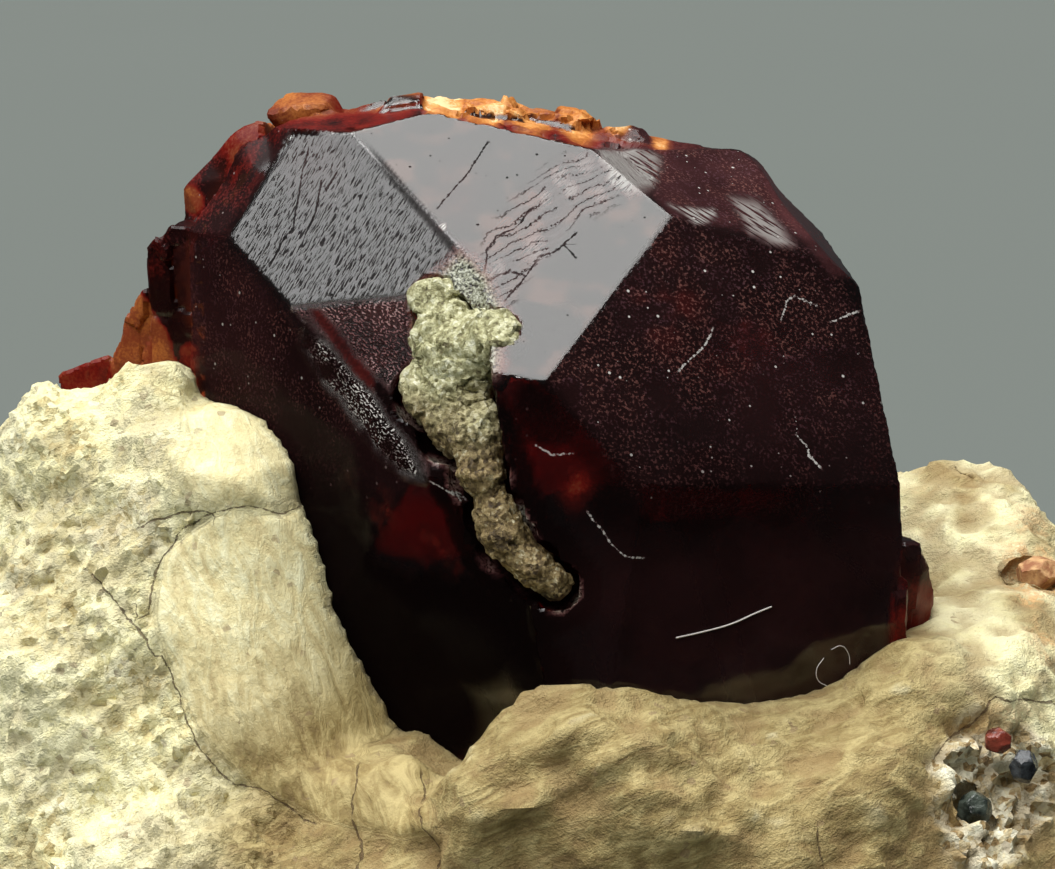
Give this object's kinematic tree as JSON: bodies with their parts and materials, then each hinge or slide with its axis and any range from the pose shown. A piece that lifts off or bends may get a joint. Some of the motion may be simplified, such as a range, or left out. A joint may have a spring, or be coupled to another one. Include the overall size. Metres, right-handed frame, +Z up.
{
  "type": "clinohumite crystal on matrix",
  "caption": "Dark red-brown gemmy clinohumite crystal, with a tan vein in its groove, seated in a lump of cream-coloured carbonate rock cut flat underneath.",
  "frame": {"origin": "middle of the flat base, on the surface that the specimen rests on", "axes": "+Z up; -Y is the display side, which shows the crystal's groove; +X to the right as seen from there"},
  "size_m": [0.0401, 0.0295, 0.0257],
  "materials": {
    "clinohumite": "transparent dark red-brown crystal with striated and mirror-bright faces",
    "tan_carbonate": "granular, matt, greenish tan",
    "cream_carbonate": "chalky cream carbonate, smooth in places and crumbly in others",
    "red_grain": "glossy red-brown grain",
    "dark_grain": "dark grey, slightly shiny grain",
    "rusty_grain": "rusty orange, rough"
  },
  "bodies": {
    "root": {"clinohumite_crystal": "clinohumite", "vein_filling": "tan_carbonate", "matrix": "cream_carbonate", "red_grain": "red_grain", "dark_grain_upper": "dark_grain", "dark_grain_lower": "dark_grain", "rusty_grain": "rusty_grain"}
  },
  "joints": []
}
